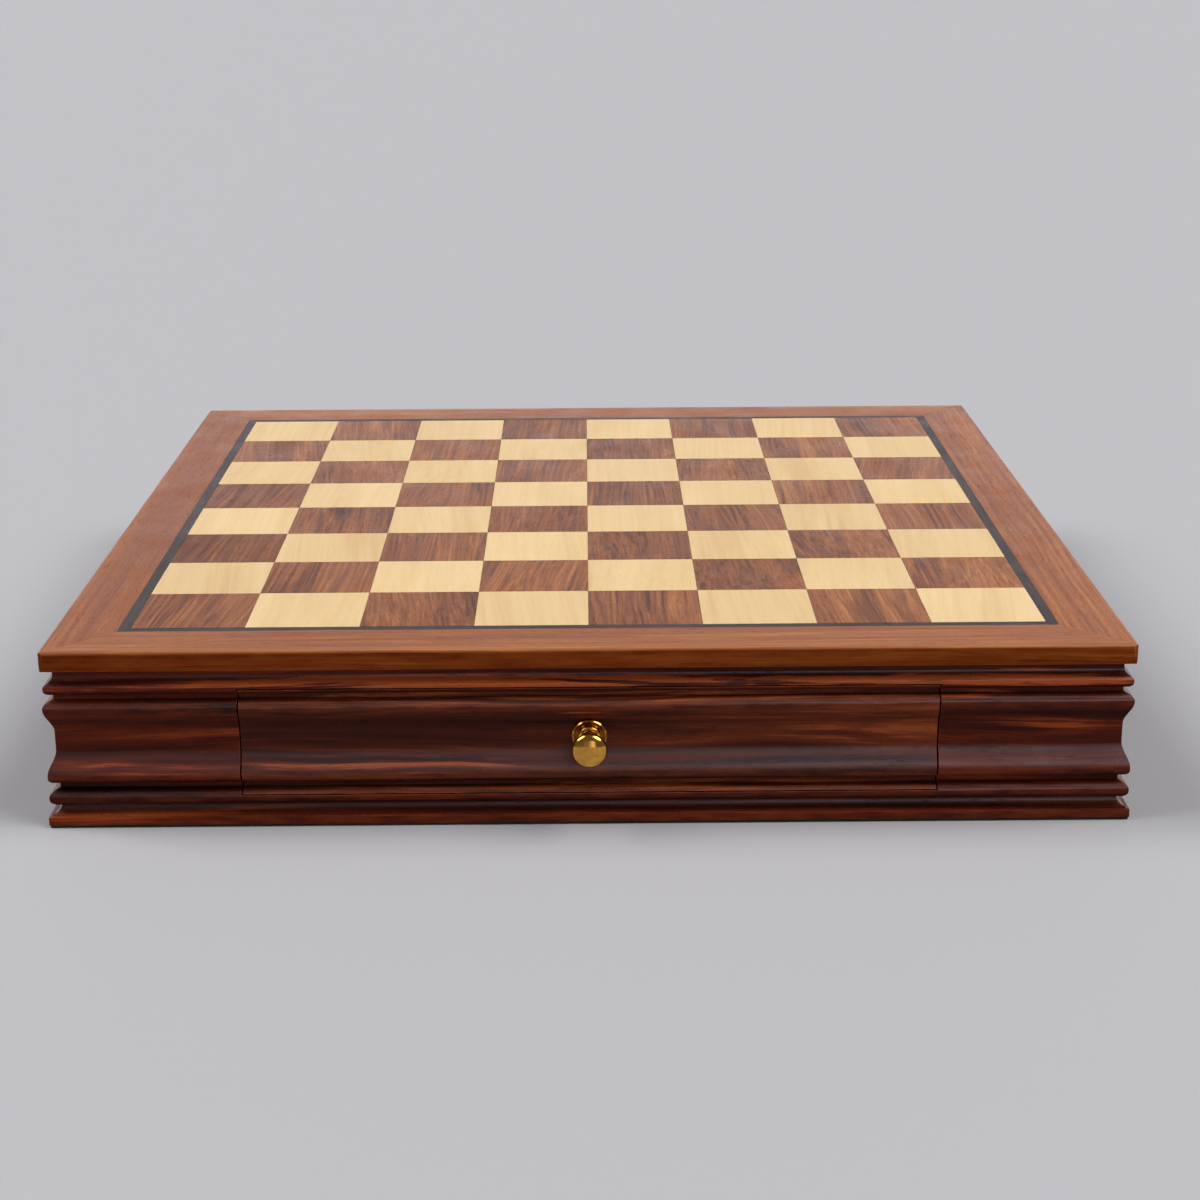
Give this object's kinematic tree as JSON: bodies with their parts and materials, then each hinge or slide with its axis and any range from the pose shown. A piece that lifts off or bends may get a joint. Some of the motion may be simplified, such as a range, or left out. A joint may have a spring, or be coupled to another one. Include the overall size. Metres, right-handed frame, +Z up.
{
  "type": "chess box with drawers",
  "caption": "Square chess board with a mitred frame, on a moulded wooden case with a brass-knobbed drawer at the front and another at the back.",
  "frame": {"origin": "middle of the underside, on the surface the box stands on", "axes": "+Z up, +Y to the back, +X to the right of someone who faces the front drawer"},
  "size_m": [0.533, 0.5726, 0.091],
  "materials": {
    "frame_wood": "satin varnished rosewood rails, mid brown, fine lengthwise grain",
    "inlay_wood": "satin varnished black strip",
    "core_wood": "plain plywood, lightly sanded",
    "light_wood": "satin varnished pale maple",
    "dark_wood": "satin varnished golden rosewood with dark streaks",
    "case_wood": "dark stained rosewood under satin varnish",
    "inner_wood": "planed hardwood, oiled",
    "base_felt": "matt wool felt",
    "drawer_lining": "matt green baize",
    "brass": "polished and lacquered",
    "screw_steel": "zinc plated"
  },
  "bodies": {
    "case": {"front_rail": "frame_wood", "back_rail": "frame_wood", "left_rail": "frame_wood", "right_rail": "frame_wood", "front_inlay": "inlay_wood", "back_inlay": "inlay_wood", "left_inlay": "inlay_wood", "right_inlay": "inlay_wood", "board_core": "core_wood", "light_squares": "light_wood", "dark_squares": "dark_wood", "front_panel": "case_wood", "back_panel": "case_wood", "left_panel": "case_wood", "right_panel": "case_wood", "base_panel": "core_wood", "base_felt": "base_felt", "middle_wall": "inner_wood", "left_guide": "inner_wood", "right_guide": "inner_wood", "front_left_runner": "inner_wood", "front_right_runner": "inner_wood", "back_left_runner": "inner_wood", "back_right_runner": "inner_wood", "front_left_kicker": "inner_wood", "front_right_kicker": "inner_wood", "back_left_kicker": "inner_wood", "back_right_kicker": "inner_wood", "front_left_block": "inner_wood", "front_right_block": "inner_wood", "back_left_block": "inner_wood", "back_right_block": "inner_wood", "board_screws": "screw_steel", "base_screws": "screw_steel"},
    "front_drawer": {"front_drawer_face": "case_wood", "front_drawer_left_side": "inner_wood", "front_drawer_right_side": "inner_wood", "front_drawer_back": "inner_wood", "front_drawer_floor": "core_wood", "front_drawer_lining": "drawer_lining", "front_drawer_long_slats": "core_wood", "front_drawer_cross_slats": "core_wood", "front_drawer_rosette": "brass", "front_drawer_knob": "brass", "front_drawer_knob_screw": "screw_steel"},
    "back_drawer": {"back_drawer_face": "case_wood", "back_drawer_left_side": "inner_wood", "back_drawer_right_side": "inner_wood", "back_drawer_back": "inner_wood", "back_drawer_floor": "core_wood", "back_drawer_lining": "drawer_lining", "back_drawer_long_slats": "core_wood", "back_drawer_cross_slats": "core_wood", "back_drawer_rosette": "brass", "back_drawer_knob": "brass", "back_drawer_knob_screw": "screw_steel"}
  },
  "joints": [
    {"name": "front_drawer_slide", "type": "slide", "parent": "case", "child": "front_drawer", "axis": [0, -1, 0], "range_m": [0, 0.19]},
    {"name": "back_drawer_slide", "type": "slide", "parent": "case", "child": "back_drawer", "axis": [0, 1, 0], "range_m": [0, 0.19]}
  ]
}
